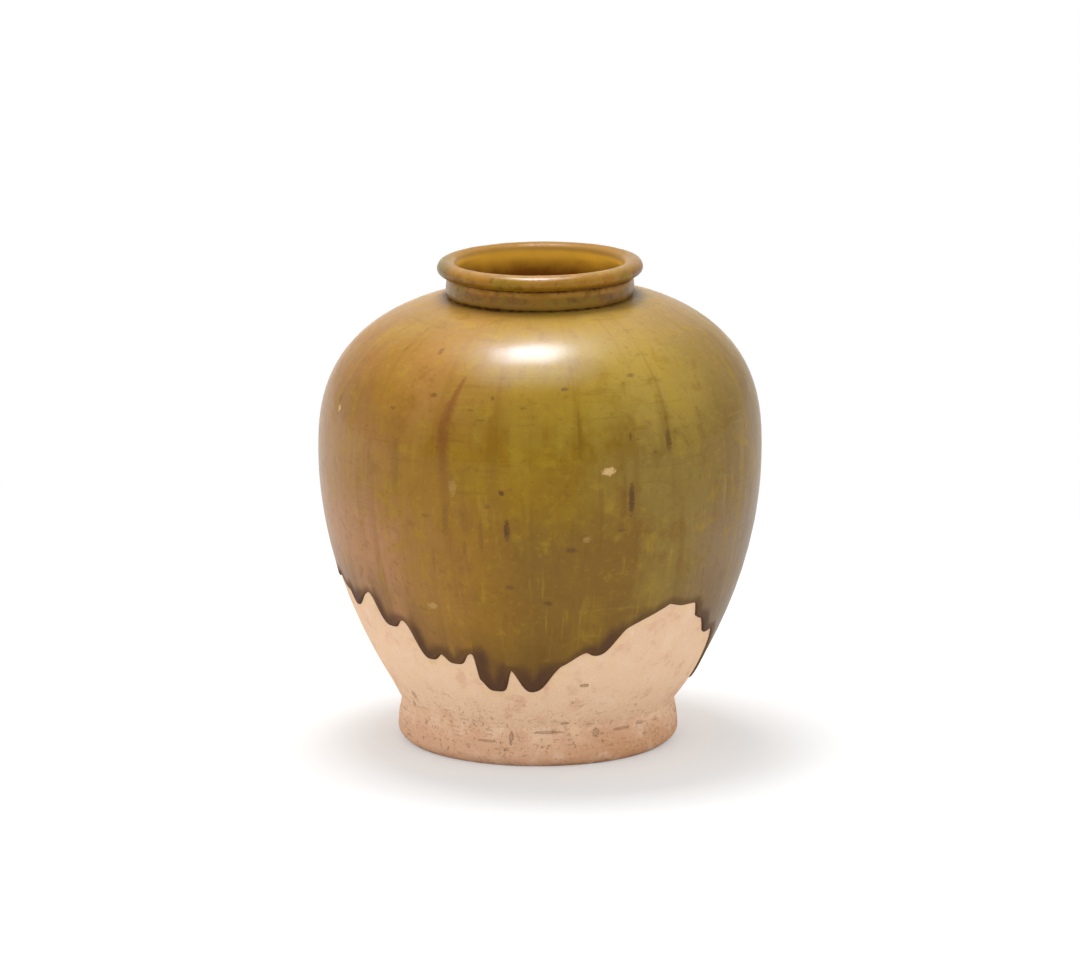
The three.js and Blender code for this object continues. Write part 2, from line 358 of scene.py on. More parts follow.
# Angle from the front in degrees, height, half width and half height in mm, and strength
clay_marks = [
    (-11.7, 13.6, 0.8, 2.4, 0.9), (24.0, 14.8, 1.4, 1.7, 0.7), (3.0, 16.1, 5.0, 0.6, 0.7),
    (10.0, 20.2, 1.8, 0.6, 0.7), (15.3, 40.2, 1.8, 0.7, 1.0), (-57.0, 27.2, 1.4, 1.6, 0.7),
    (-22.0, 11.5, 4.0, 0.5, 0.6), (36.4, 15.0, 3.5, 0.6, 0.7), (46.6, 15.8, 2.0, 0.7, 0.7),
    (-61.0, 22.1, 1.0, 0.8, 0.7), (112.0, 30.0, 1.6, 1.0, 0.8), (-140.0, 12.0, 3.0, 0.6, 0.7),
    (-96.0, 24.0, 1.0, 2.0, 0.7), (160.0, 46.0, 1.6, 0.8, 0.8), (84.0, 12.5, 2.6, 0.7, 0.7),
]
print("placed marks in the clay:", len(clay_marks))

# %% Clay
def clay_material(name, stained):
    material, start = start_material(name)
    at = places(start)
    cloud = noise(at.place, 0.05, 4.0, 0.6)
    tan = noise(at.place, 0.11, 3.0, 0.6)
    grain = noise(at.place, 1.5, 3.0, 0.7)
    height = (cloud - 0.5) * 26 + at.z
    right_side = at.angle.band(-10, 40, 110, 160)
    ground = mixed(paint(222, 177, 143), paint(236, 200, 166), height.fade(5, 24))
    ground = layered(ground, [
        # Browner low on the right, and pinker again under the glaze
        ((202, 152, 110), height.fade(22, 6) * right_side * 0.8),
        ((229, 193, 160), height.fade(40, 74)),
        # Patches and sandy grain, each with a light and a dark side
        ((238, 208, 180), tan.fade(0.52, 0.72) * 0.5),
        ((212, 162, 130), tan.fade(0.47, 0.3) * 0.45),
        ((198, 152, 120), grain.fade(0.52, 0.72) * 0.4),
        ((242, 214, 188), grain.fade(0.42, 0.26) * 0.35),
    ])

    near_foot = (height + (tan - 0.5) * 40).fade(38, 12)
    lines = level_lines(at.place, 0.8)
    broken = noise(at.place, 0.35).fade(0.45, 0.62)
    scratches = lines.fade(0.57, 0.67) * broken * (near_foot * 0.8 + 0.1)
    gritty = noise(ragged_place(at.place, 0.5, 3.0), 0.55, 5.0, 0.72)
    rubbed = gritty.fade(0.56, 0.66) * (near_foot * 0.9 + 0.1)
    vein = noise(ragged_place(at.place, 0.25, 6.0), 0.22, 3.0, 0.6) - 0.5
    cracks = vein.away().fade(0.012, 0.002) * gritty.fade(0.52, 0.6) * near_foot
    burnt = pits(ragged_place(at.place, 0.8, 1.6), 17.0, 1.5, 0.16)
    placed = mark_mask(at, clay_marks, (gritty - 0.5) * 4.0 + (grain - 0.5) * 6.0)
    dark = cracks.most(scratches * 0.8).most(burnt).most(placed)
    ground = layered(ground, [((192, 138, 94), rubbed * 0.6), ((158, 108, 74), dark * 0.55)])
    if stained:
        under_glaze = (mesh_number(start, "glaze_distance") * (1 / mm)).fade(6, 0)
        stain = under_glaze * noise(at.place, 0.1).fade(0.4, 0.6)
        ground = layered(ground, [((230, 198, 142), stain * 0.4)])
    relief = grain * 0.14 + lines * (near_foot * 0.2 + 0.06) + tan * 0.2 - dark * 0.4
    finish_material(start, {
        "Base Color": ground, "Roughness": 0.84 + grain * 0.12, "Normal": bumped(relief, 1.0),
        "IOR": 1.45, "Specular IOR Level": 0.3,
    })
    return material


body_clay = clay_material("body_clay", True)
foot_clay = clay_material("foot_clay", False)
slip_clay = clay_material("luting_slip", False)
print("clay materials:", body_clay.name, foot_clay.name, slip_clay.name)

# %% [markdown]
# ## The glaze
# A lead glaze coloured with iron: amber where it is thin, olive where it is thick, and almost
# black-brown in the bead along its lower edge. Its named tones are laid round the jar by the angle
# from the front, in three rings; a few of them also carry a painted sheen.

# %% Glaze tones round the jar
# Honey and pale honey at the left edge, and ash brown low on the right, are partly the glaze's tone
# and partly a painted sheen where those edges mirror the pale room
glaze_tones = {
    "russet": (140, 91, 8), "gold": (149, 106, 24), "honey": (156, 110, 50),
    "pale honey": (172, 122, 78), "amber": (143, 105, 0), "sand": (146, 111, 34),
    "yellow olive": (149, 120, 30), "olive": (137, 103, 0), "pale olive": (157, 130, 54),
    "grey olive": (136, 110, 44), "dark olive": (125, 91, 24), "umber": (124, 93, 18),
    "ash brown": (134, 107, 72),
}
# Sand and yellow olive at the front of the shoulder are greyer than the glaze round them: partly
# the glaze's tone and partly a painted sheen round the box's highlight
shoulder_ring = [
    (-180, "olive"), (-120, "gold"), (-68, "russet"), (-50, "gold"), (-34, "honey"), (-14, "sand"),
    (8, "yellow olive"), (26, "pale olive"), (42, "pale olive"), (56, "grey olive"), (72, "umber"),
    (180, "olive"),
]
girth_ring = [
    (-180, "amber"), (-120, "gold"), (-70, "honey"), (-50, "honey"), (-33, "gold"), (-8, "amber"),
    (10, "olive"), (26, "grey olive"), (44, "grey olive"), (62, "umber"), (110, "gold"),
    (180, "amber"),
]
low_ring = [
    (-180, "umber"), (-120, "gold"), (-70, "pale honey"), (-48, "pale honey"), (-34, "honey"),
    (-20, "gold"), (-6, "dark olive"), (24, "dark olive"), (38, "grey olive"), (55, "ash brown"),
    (76, "ash brown"), (110, "dark olive"), (180, "umber"),
]


def by_angle(angle, ring):
    """The tone of a ring at each angle, eased from one to the next."""
    tone_at = (angle / 360 + 0.5).into("ShaderNodeValToRGB")
    stops = tone_at.socket.node.color_ramp.elements
    while len(stops) < len(ring):
        stops.new(1.0)
    for stop, (degrees, tone) in zip(stops, ring):
        stop.position = degrees / 360 + 0.5
        stop.color = paint(*glaze_tones[tone])
    return tone_at


print("glaze tones:", ", ".join(glaze_tones))

# %% [markdown]
# ## Marks in the glaze
# Some marks catch the eye: burnt specks and short dark dashes, a long curved streak, and a chip
# where the pale body shows. Each is placed by its angle and height, so it stays on the wall from
# every side.

# %% Placed marks
# Angle in degrees, height, half width and half height in mm, and strength
dark_marks = [
    (-9.7, 133.3, 1.2, 1.2, 0.9), (-8.4, 116.8, 1.3, 4.4, 0.9), (-13.5, 127.2, 1.4, 1.1, 0.4),
    (23.7, 129.0, 1.4, 6.5, 0.9), (35.0, 153.6, 1.4, 4.6, 0.6), (27.8, 181.2, 1.8, 0.7, 0.6),
    (7.1, 177.4, 1.7, 0.7, 0.7), (8.1, 107.5, 2.4, 1.2, 0.6), (-35.4, 189.0, 1.2, 1.3, 0.6),
    (-31.0, 172.9, 1.7, 0.8, 0.6), (-43.2, 165.5, 1.4, 0.7, 0.5), (-8.0, 90.0, 1.8, 1.0, 0.5),
    (-13.3, 173.5, 0.9, 0.8, 0.6), (-4.5, 169.9, 1.6, 0.5, 0.4), (-19.0, 168.2, 2.0, 0.5, 0.4),
    (-15.9, 164.4, 2.2, 0.5, 0.4), (10.3, 157.0, 0.9, 11.0, 0.25), (-30.4, 120.6, 2.0, 0.9, 0.4),
    (-15.2, 113.0, 1.0, 7.0, 0.3), (-19.8, 107.2, 0.9, 3.0, 0.35), (23.9, 156.8, 0.7, 2.0, 0.5),
    (30.7, 149.2, 1.2, 0.8, 0.4), (21.2, 115.3, 2.0, 0.6, 0.5),
    (2.2, 82.5, 1.8, 1.0, 0.6), (-68.3, 162.6, 1.6, 2.2, 0.4), (-39.9, 141.0, 2.2, 12.0, 0.25),
    (-24.8, 119.0, 1.5, 7.5, 0.3), (142.0, 158.0, 1.2, 4.5, 0.7), (-151.0, 131.0, 1.5, 1.5, 0.8),
    (168.0, 117.0, 1.0, 6.0, 0.7), (-118.0, 148.0, 2.0, 1.2, 0.5), (97.0, 139.0, 1.4, 1.4, 0.7),
]
pale_marks = [
    (17.5, 142.4, 2.8, 1.7, 1.0), (-67.0, 158.9, 1.3, 1.3, 0.8), (128.0, 128.0, 2.0, 1.6, 0.8),
    (-22.6, 134.5, 1.8, 3.4, 0.22), (-31.3, 78.0, 2.2, 1.4, 0.35), (12.0, 112.0, 1.6, 1.2, 0.3),
]
print("placed marks:", len(dark_marks), "dark,", len(pale_marks), "pale")

# %% Marks over the glaze
streak_bend = 160.0


def long_streak(at, ragged):
    """The curved run of iron left of the front, from the shoulder to the belly."""
    middle = (at.z - streak_bend).most(0.0) ** 1.5 * 0.035 - 26.0
    middle = middle + (at.z - streak_bend).least(0.0) * -0.05
    across = (at.angle - middle) * degree * at.radius
    width = at.z.fade(181, 163) * 1.9 + 0.9
    line = (across.away() / width + ragged * 0.5).fade(1.5, 0.2)
    return line * at.z.fade(183, 179) * (at.z.fade(126, 156) * 0.7 + 0.3) * at.z.fade(66, 90)


def marked(at, colour):
    """The colour with its dark and pale marks, and the masks of both."""
    ragged = (at.speckle - 0.5) * 2.4 + (noise(at.place, 1.5, 2.0, 0.6) - 0.5) * 4.0
    specks = pits(ragged_place(at.place, 0.8, 1.2), 9.0, 0.9, 0.12)
    dashes = pits(join(at.x * 0.35, at.y * 0.35, at.z), 5.0, 0.8, 0.05) * at.z.fade(130, 160)
    dark = mark_mask(at, dark_marks, ragged).most(specks * 0.5).most(dashes * 0.5)
    pale = mark_mask(at, pale_marks, ragged)
    colour = layered(colour, [
        ((80, 46, 24), dark * 0.85),
        ((122, 70, 28), long_streak(at, ragged) * 0.7),
        ((216, 180, 122), pale * 0.85),
    ])
    return colour, dark, pale


print("the long streak bends at", streak_bend, "mm")

# %% [markdown]
# ## From tones to a glaze
# Noises come first, each with its own grain, and all steps share them. They bend the borders
# between the rings of tones. Over these lies what the running did: blotches, broad and thin upright
# streaks, and level lines where the glaze shows the throwing rings under it.

# %% Noises of the glaze
def glaze_places(start):
    at = places(start)
    around = join(at.x / at.radius * 90.0, at.y / at.radius * 90.0, at.z * 0.1)
    at.streaks = noise(around, 0.11, 3.0, 0.55)
    at.thin_streaks = noise(around, 0.42)
    at.clouds = noise(at.place, 0.028, 3.0, 0.55, 0.5)
    at.mottle = noise(at.place, 0.11, 4.0, 0.62, 0.4)
    at.flecks = noise(at.place, 0.3, 3.0, 0.6)
    at.speckle = noise(at.place, 0.8, 3.0, 0.65)
    at.patches = noise(join(at.x, at.y + 500.0, at.z), 0.03)
    at.lines = level_lines(at.place, 0.5)
    return at


# Heights in mm that the masks of the neck and the lip are counted from
neck_foot = 202
lip_foot = 212
roll_middle = 216
print("the neck starts at", neck_foot, "mm and the lip at", lip_foot, "mm")

# %% Colour of the wall
def wall_colour(at):
    clouds, mottle, streaks, flecks = at.clouds, at.mottle, at.streaks, at.flecks
    turned = at.angle + (clouds - 0.5) * 30 + (streaks - 0.5) * 14 + (mottle - 0.5) * 14
    height = at.z + (mottle - 0.5) * 26 + (streaks - 0.5) * 40 + (clouds - 0.5) * 26
    colour = mixed(
        by_angle(turned, girth_ring), by_angle(turned, shoulder_ring), height.fade(146, 170)
    )
    colour = mixed(colour, by_angle(turned, low_ring), height.fade(138, 102))
    below_neck = at.z.fade(neck_foot + 2, neck_foot - 2)
    pale_runs = at.thin_streaks.fade(0.57, 0.7) * at.patches.fade(0.45, 0.58) * at.z.fade(150, 118)
    dark_runs = at.thin_streaks.fade(0.43, 0.3) * at.patches.fade(0.56, 0.44) * at.z.fade(175, 150)
    dark_lines = at.lines.fade(0.56, 0.68) * at.patches.fade(0.45, 0.6) * at.z.fade(90, 130)
    pale_lines = at.lines.fade(0.42, 0.32) * at.patches.fade(0.5, 0.62)
    return layered(colour, [
        # Paler and greyer just under the neck: partly the glaze's tone and partly painted light
        # where the lip shades the shoulder
        ((146, 112, 56), at.z.fade(186, 199) * 0.6),
        # Clouds, mottling and flecks, each with a lighter and a darker side
        ((162, 130, 8), clouds.fade(0.54, 0.76) * 0.34),
        ((118, 78, 4), clouds.fade(0.44, 0.26) * 0.34),
        ((168, 136, 22), mottle.fade(0.54, 0.72) * 0.36),
        ((118, 80, 8), mottle.fade(0.46, 0.3) * 0.36),
        ((174, 142, 34), flecks.fade(0.56, 0.72) * 0.2),
        ((112, 76, 8), flecks.fade(0.44, 0.28) * 0.3),
        # Upright streaks and runs, level throwing lines, and speckles over all
        ((116, 78, 12), streaks.fade(0.46, 0.3) * below_neck * 0.3),
        ((168, 134, 20), streaks.fade(0.56, 0.72) * below_neck * 0.22),
        ((172, 140, 40), pale_runs * 0.3),
        ((108, 70, 22), dark_runs * 0.24),
        ((112, 78, 8), dark_lines * 0.26),
        ((172, 142, 44), pale_lines * 0.14),
        ((112, 76, 24), at.speckle.fade(0.56, 0.72) * 0.24),
        ((174, 140, 50), at.speckle.fade(0.4, 0.26) * 0.1),
    ])


print("the wall has", len(shoulder_ring) + len(girth_ring) + len(low_ring), "stops of colour")

# %% [markdown]
# ## Neck, lip and mouth
# These have their own depth of colour: dark in the seams, where glaze pools and painted shade
# lies; a painted highlight on the crown and lower edge of the neck band; the roll paler at the
# front and darker at its sides, as painted light; and deep amber in the mouth, darker deeper down
# and at its sides, as painted shade.

# %% Colour of the neck, the lip and the mouth
def lip_colour(at, colour):
    """The wall's colour with these over it, the lip's mask, and the seams' mask of pooled glaze and
    painted shade.
    """
    z, mottle = at.z, at.mottle
    rolled = z.fade(neck_foot + 1, neck_foot + 4)
    sides = at.angle.away().fade(40, 75)
    uneven = (mottle - 0.5) * 3.0
    wavy = z + uneven
    right_side = at.angle.band(15, 60, 110, 160)
    # Painted highlight: the crown of the neck band, under the lip, is drawn paler
    painted_crown_light = wavy.band(neck_foot + 6.4, neck_foot + 8, lip_foot - 0.4, lip_foot + 1)
    olive = noise(at.place, 0.055, 3.0, 0.6).fade(0.48, 0.58)
    blotches = (mottle * 0.5 + at.flecks * 0.5).fade(0.5, 0.4)
    left_edge = (at.x + uneven).fade(-38, -43.5) * at.y.fade(26, 6)
    colour = layered(colour, [
        ((130, 88, 6), rolled * 0.85),
        ((116, 88, 48), rolled * z.fade(lip_foot + 1, lip_foot - 1) * right_side * 0.5),
        ((188, 134, 54), painted_crown_light * 0.75),
        # Painted light: the lower edge of the neck band is drawn paler
        ((150, 110, 46), wavy.fade(neck_foot + 4.6, neck_foot + 3.4) * rolled * 0.5),
        # Painted light: the roll is paler at the front than at its sides
        ((170, 122, 42), z.fade(lip_foot + 1.8, lip_foot + 3.4) * (1 - sides) * 0.75),
        ((138, 114, 14), rolled * olive * 0.6),
        ((158, 96, 24), rolled * mottle.fade(0.5, 0.6) * 0.45),
        ((100, 64, 14), rolled * blotches * 0.5),
        (
            (130, 95, 44),
            z.fade(roll_middle + 0.4, roll_middle + 2.2) * (at.y.fade(-20, 0) * 0.4 + 0.5),
        ),
        ((92, 80, 22), rolled * z.fade(lip_foot, lip_foot + 2) * left_edge * 0.6),
    ])

    # Painted shade: the mouth's glaze is drawn darker deeper down in the hollow
    depth = (z + (mottle - 0.5) * 5).fade(neck_foot + 3, lip_foot + 2)
    mouth = layered(mixed(paint(126, 70, 4), paint(222, 166, 50), depth), [
        # Painted shade: darker at the mouth's sides just under the roll
        ((120, 78, 18), at.x.away().fade(24, 36) * z.fade(roll_middle, roll_middle - 2.5) * 0.55),
        ((146, 106, 44), z.fade(roll_middle - 1, roll_middle + 1.4)),
    ])
    inside = at.radius.fade(40.4, 39)
    # The seams are partly glaze pooled in them and partly painted shade in the creases
    groove = z.band(lip_foot - 1.2, lip_foot - 0.2, lip_foot + 0.6, lip_foot + 1.6)
    groove = groove * at.radius.fade(43, 42)
    neck_seam_pool_and_shade = z.band(neck_foot, neck_foot + 0.6, neck_foot + 1.2, neck_foot + 2.4)
    neck_seam_pool_and_shade = neck_seam_pool_and_shade * at.radius.fade(40.5, 41.2) * at.radius.fade(44.4, 43) * (1 - sides * 0.6)
    seams_pooled_and_shaded = groove.most(neck_seam_pool_and_shade) * (1 - inside)
    colour = mixed(colour, mouth, inside)
    # Pooled glaze and painted shade darken the seams
    colour = layered(colour, [((78, 44, 3), seams_pooled_and_shaded * (at.flecks.fade(0.62, 0.4) * 0.4 + 0.5))])
    return colour, rolled, seams_pooled_and_shaded


print("the roll's middle is near", roll_middle, "mm")

# %% [markdown]
# ## Run edge and gloss
# Pooled glaze is olive-brown above a drip, purple-brown in its bead and darkest at its edge. The
# gloss has two parts: a soft one for the old, slightly worn skin and a clearer one on top.

# %% Run edge and gloss
def pooled(at, colour, bead_tone, edge_tone):
    """The colour with the thick glaze above the run edge and in its bead, and the bead's mask."""
    edge = mesh_number(at.x, "edge_distance") * (1 / mm)
    drip = mesh_number(at.x, "drip")
    near = edge + (at.mottle - 0.5) * 5.0 + (at.streaks - 0.5) * 4.0
    bead = near.fade(drip * 6.0 + 3.8, drip * 2.4 + 1.2)
    strength = 1 - at.angle.band(62, 76, 98, 112) * 0.55
    colour = layered(colour, [
        ((100, 68, 18), edge.fade(24, 5) * (drip * 0.5 + 0.12) * 0.8),
        (bead_tone, bead * (drip * 0.4 + 0.5) * strength),
        (edge_tone, edge.fade(drip * 1.8 + 0.7, 0.1) * strength * 0.6),
    ])
    return colour, bead


def glaze_material(name, bead_tone, edge_tone):
    material, start = start_material(name)
    at = glaze_places(start)
    colour, rolled, seams_pooled_and_shaded = lip_colour(at, wall_colour(at))
    colour, dark, pale = marked(at, colour)
    colour, bead = pooled(at, colour, bead_tone, edge_tone)
    relief = at.streaks * 0.16 + at.lines * 0.1 + at.mottle * 0.3 - dark * 0.05 - pale * 0.15
    dull = seams_pooled_and_shaded.most(pale).most(bead * 0.8).most(rolled * at.y.fade(6, 26) * 0.7)
    finish_material(start, {
        "Base Color": colour, "Roughness": at.mottle.fade(0.4, 0.75) * 0.12 + dull * 0.2 + 0.42,
        "Normal": bumped(relief, 0.5), "IOR": 1.5, "Specular IOR Level": 0.14,
        "Coat Weight": (1 - dull) * 0.32, "Coat Roughness": 0.12, "Coat IOR": 1.5,
    })
    return material


amber_glaze = glaze_material("amber_glaze", (82, 54, 40), (62, 36, 20))
ochre_glaze = glaze_material("ochre_glaze", (96, 58, 20), (84, 48, 14))
print("glaze nodes:", len(amber_glaze.node_tree.nodes))

# %% [markdown]
# ## Growing a mesh from a tree
# Geometry Nodes make every piece. A tree gets named inputs for its sizes. A modifier runs it once,
# what it made is kept as a plain mesh, and the modifier is removed.

# %% Building a tree
def new_tree(name, inputs):
    tree = bpy.data.node_groups.new(name, "GeometryNodeTree")
    tree.interface.new_socket("Geometry", in_out="INPUT", socket_type="NodeSocketGeometry")
    tree.interface.new_socket("Geometry", in_out="OUTPUT", socket_type="NodeSocketGeometry")
    for label, kind in inputs.items():
        tree.interface.new_socket(label, in_out="INPUT", socket_type="NodeSocket" + kind)
    entry = tree.nodes.new("NodeGroupInput")
    return tree, {socket.name: Wire(tree, socket) for socket in entry.outputs if socket.name}


def finish_tree(geometry, material):
    real = geometry.into("GeometryNodeSetShadeSmooth").into("GeometryNodeRealizeInstances")
    dressed = real.into("GeometryNodeSetMaterial", Material=material)
    leave = geometry.tree.nodes.new("NodeGroupOutput")
    geometry.tree.links.new(dressed.socket, leave.inputs["Geometry"])


print("tree helpers are ready")

# %% Objects that a tree reads, and running a tree
def new_object(name, data):
    made = bpy.data.objects.new(name, data)
    bpy.context.scene.collection.objects.link(made)
    return made


def guide_mesh(name, points, closed, values=None):
    """Points joined in a line, with named numbers on them, for a tree to read."""
    mesh = bpy.data.meshes.new(name)
    count = len(points)
    edges = [(i, (i + 1) % count) for i in range(count if closed else count - 1)]
    mesh.from_pydata([tuple(point) for point in points], edges, [])
    for label, numbers in (values or {}).items():
        layer = mesh.attributes.new(label, "FLOAT", "POINT")
        layer.data.foreach_set("value", [float(number) for number in numbers])
    return new_object(name, mesh)


def cleaned(mesh):
    """Turns the faces outward, drops loose edges, and tells what the mesh is like."""
    check = bmesh.new()
    check.from_mesh(mesh)
    volume = check.calc_volume(signed=True)
    if volume < 0:
        bmesh.ops.reverse_faces(check, faces=check.faces)
    loose = [edge for edge in check.edges if not edge.link_faces]
    bmesh.ops.delete(check, geom=loose, context="EDGES")
    check.to_mesh(mesh)
    open_edges = sum(len(edge.link_faces) != 2 for edge in check.edges)
    triangles = sum(len(face.verts) - 2 for face in check.faces)
    check.free()
    return f"{triangles} triangles, {abs(volume) * 1e6:.1f} ml, {open_edges} open edges"


def grown(piece, tree, values):
    modifier = piece.modifiers.new("grow", "NODES")
    modifier.node_group = tree
    for item in tree.interface.items_tree:
        if item.in_out == "INPUT" and item.name in values:
            modifier[item.identifier] = values[item.name]
    graph = bpy.context.evaluated_depsgraph_get()
    result = piece.evaluated_get(graph)
    mesh = bpy.data.meshes.new_from_object(result, preserve_all_data_layers=True, depsgraph=graph)
    piece.modifiers.remove(modifier)
    piece.data = mesh
    print(piece.name + ":", cleaned(mesh))
    return piece


print("pieces can be grown")

# %% [markdown]
# ## The potter's hand
# Fingers leave shallow rings, and the wall sways a little as it dries. The upper bowl of this jar
# leans, so that its right shoulder stands higher, and its foot sits a little to the left. One rule
# moves the clay and the glaze over it, so the pieces stay together.

# %% Rings, sway and lean
ring_depth = 0.16 * mm
sway_depth = 0.3 * mm
thumb_depth = 0.9 * mm
shoulder_lean = 1.0 * mm
shoulder_lift = 0.35 * mm
lip_lean = 0.4 * mm
foot_offset = 0.9 * mm


def turned_point(radius, angle, z):
    return join(radius * angle.math("SINE", angle), 0.0 - radius * angle.math("COSINE", angle), z)


def shift_by_hand(place, radius):
    """How far the wall lies inside its rule here, and how far it moves across and up, in metres."""
    x, y, z = split(place)
    rings = noise(join(x * 0.08, y * 0.08, z), 260.0, 2.0, 0.55) - 0.5
    sway = noise(place, 17.0, 1.0) - 0.5
    thumbs = (noise(place, 80.0, 1.0) - 0.5) * z.fade(198 * mm, 204 * mm)
    near_axis = (radius / (20 * mm)).least(1.0)
    inward = (rings * ring_depth + sway * sway_depth + thumbs * thumb_depth) * near_axis
    across = z.fade(30 * mm, 17 * mm) * -foot_offset
    lean = z.fade(105 * mm, 165 * mm) * shoulder_lean
    lean = lean + z.fade(199 * mm, 204 * mm) * (lip_lean - shoulder_lean)
    lift = z.fade(140 * mm, 170 * mm) * shoulder_lift
    return inward, across, lean * x / radius.most(1 * mm) + lift * z.fade(204 * mm, 199 * mm)


def moved_by_hand(radius, angle, z, shift):
    inward, across, up = shift
    x, y, height = split(turned_point(radius - inward, angle, z))
    return join(x + across, y, height + up)


print("rings", ring_depth / mm, "mm, sway", sway_depth / mm, "mm, lean", shoulder_lean / mm, "mm")

# %% [markdown]
# ## Turning a piece
# A thrown piece is a profile swept round an axis. Its tree lays a grid over it, one row for each
# point and one column for each step round. A Screw modifier would also sweep it, but here each
# point can get the marks of the hand and its distance to the glaze while its rule is still known.
# The last row and column fall on the first ones and are merged.

# %% Parts that both trees share
def read_point(guide, value, index, kind="FLOAT"):
    return guide.into("GeometryNodeSampleIndex", {"data_type": kind}, Value=value, Index=index)


def read_numbers(guide, labels, index):
    """The named numbers of one point of a guide."""
    found = []
    settings = {"data_type": "FLOAT"}
    for label in labels:
        value = guide.node("GeometryNodeInputNamedAttribute", settings, {"Name": label})
        found.append(read_point(guide, value, index))
    return found


def count_points(guide):
    return guide.into("GeometryNodeAttributeDomainSize", {"component": "MESH"})


def geometry_of(guide):
    return guide.into("GeometryNodeObjectInfo", output="Geometry")


def grid_of(columns, rows):
    """A grid of that many squares, and the column and row of each of its points."""
    sizes = {"Vertices X": columns + 1, "Vertices Y": rows + 1, "Size X": 1.0, "Size Y": 1.0}
    grid = columns.node("GeometryNodeMeshGrid", sockets=sizes)
    x, y, _ = split(columns.node("GeometryNodeInputPosition"))
    column = columns.math("ROUND", (x + 0.5) * columns)
    row = columns.math("ROUND", (y + 0.5) * rows)
    around = columns.math("FLOORED_MODULO", column, columns)
    along = columns.math("FLOORED_MODULO", row, rows)
    return grid, around, along


def stored(geometry, label, value):
    settings = {"data_type": "FLOAT", "domain": "POINT"}
    return geometry.into("GeometryNodeStoreNamedAttribute", settings, Name=label, Value=value)


def moved_and_merged(geometry, place):
    placed = geometry.into("GeometryNodeSetPosition", Position=place)
    return placed.into("GeometryNodeMergeByDistance", Distance=0.002 * mm)


def distance_to(edge_geometry, place):
    """The distance to the nearest edge, or a metre more where there is none."""
    settings = {"target_element": "EDGES"}
    sockets = {"Geometry": edge_geometry, "Sample Position": place}
    near = edge_geometry.node("GeometryNodeProximity", settings, sockets, "Distance")
    return near + (1.0 - near.other("Is Valid"))


print("grid helpers are ready")

# %% The tree for turned pieces
turned_inputs = {"Columns": "Int", "Run edge": "Object", "Material": "Material"}
turning, given = new_tree("turned_piece", turned_inputs)
profile = given["Geometry"]
columns = given["Columns"]
grid, column, row = grid_of(columns, count_points(profile))
outline = read_point(profile, profile.node("GeometryNodeInputPosition"), row, "FLOAT_VECTOR")
outline_r, _, outline_z = split(outline)
turn_angle = column / columns * (2 * math.pi)
ruled = turned_point(outline_r, turn_angle, outline_z)
shifted = moved_by_hand(outline_r, turn_angle, outline_z, shift_by_hand(ruled, outline_r))
grid = stored(grid, "glaze_distance", distance_to(geometry_of(given["Run edge"]), ruled))
finish_tree(moved_and_merged(grid, shifted), given["Material"])
print("turned_piece nodes:", len(turning.nodes))

# %% [markdown]
# ## Run edge of the glaze
# The edge is a chain of corners and turning points: drips hang low and round, and bare notches rise
# to sharp points between them. From one to the next the edge eases over, and each has its own
# roundness. It is needed before the clay, because the clay is stained close under the glaze.

# %% Run edge
glaze_line = 80 * mm
# Angle from the front in degrees, how far the glaze ran below the glaze line in mm, and roundness
run_knots = [
    (-98, 9, 2.4), (-90, 1, 1.4), (-84, 4, 2), (-78, 0, 1.3),
    (-71.5, 6, 2.5), (-68, 11.9, 1.6), (-57.1, 2.6, 1.4), (-49.8, 16.6, 3.2), (-44.3, 12.5, 1.6),
    (-36.8, 29.7, 2.8), (-32.4, 26.2, 0.9), (-27.6, 30.2, 3.4), (-21.4, 24.3, 2), (-20.5, 37, 0.9),
    (-14.2, 42.6, 4), (-9.2, 31.4, 0.9), (-2.9, 42.5, 2.2), (7.1, 29.1, 1.1), (14.3, 22.9, 1.3),
    (17.5, 24.7, 2.2), (25.9, 12.6, 0.9), (39.4, 3, 0.9), (46, 5.1, 2), (50, 5.2, 1.5),
    (52.2, 12.2, 1), (55.5, 14.3, 1.5), (60, 22, 1), (63, 23.4, 2), (66.6, 22.8, 1.3),
    (77.5, 44, 1), (88, 53, 2.4), (97, 28, 1.2), (104, 37, 2.6), (111, 20, 1.1),
    (119, 25.5, 2.2), (126, 17, 1.2), (137, 8.5, 1.2), (146, 14, 2.6), (152, 10, 1.2),
    (160, 32, 2.8), (166, 25, 1.1), (172, 29, 2.4), (179, 13, 1.2), (190, 6, 1.4),
    (199, 10.5, 2.2), (205, 7, 1.2), (215, 23, 2.6), (221, 17.5, 1.2), (228, 39, 3),
    (235, 26, 1.1), (242, 30.5, 2.2), (251, 13, 1.3),
]
print("corners and turning points of the run edge:", len(run_knots))

# %% The edge as a line of points
def run_edge_line(steps_per_degree=10):
    """The edge as angles in degrees and heights in metres, all round the jar."""
    angles, heights = [], []
    first_angle, *first = run_knots[0]
    following = [*run_knots[1:], (first_angle + 360, *first)]
    for knot, next_knot in zip(run_knots, following):
        angle, drop, roundness = knot
        next_angle, next_drop, next_roundness = next_knot
        steps = round((next_angle - angle) * steps_per_degree)
        for k in range(steps):
            share = k / steps
            here = share ** roundness
            there = (1 - share) ** next_roundness
            eased = between(drop, next_drop, here / (here + there))
            angles.append(between(angle, next_angle, share))
            heights.append(glaze_line - eased * mm)
    return np.array(angles), np.array(heights)


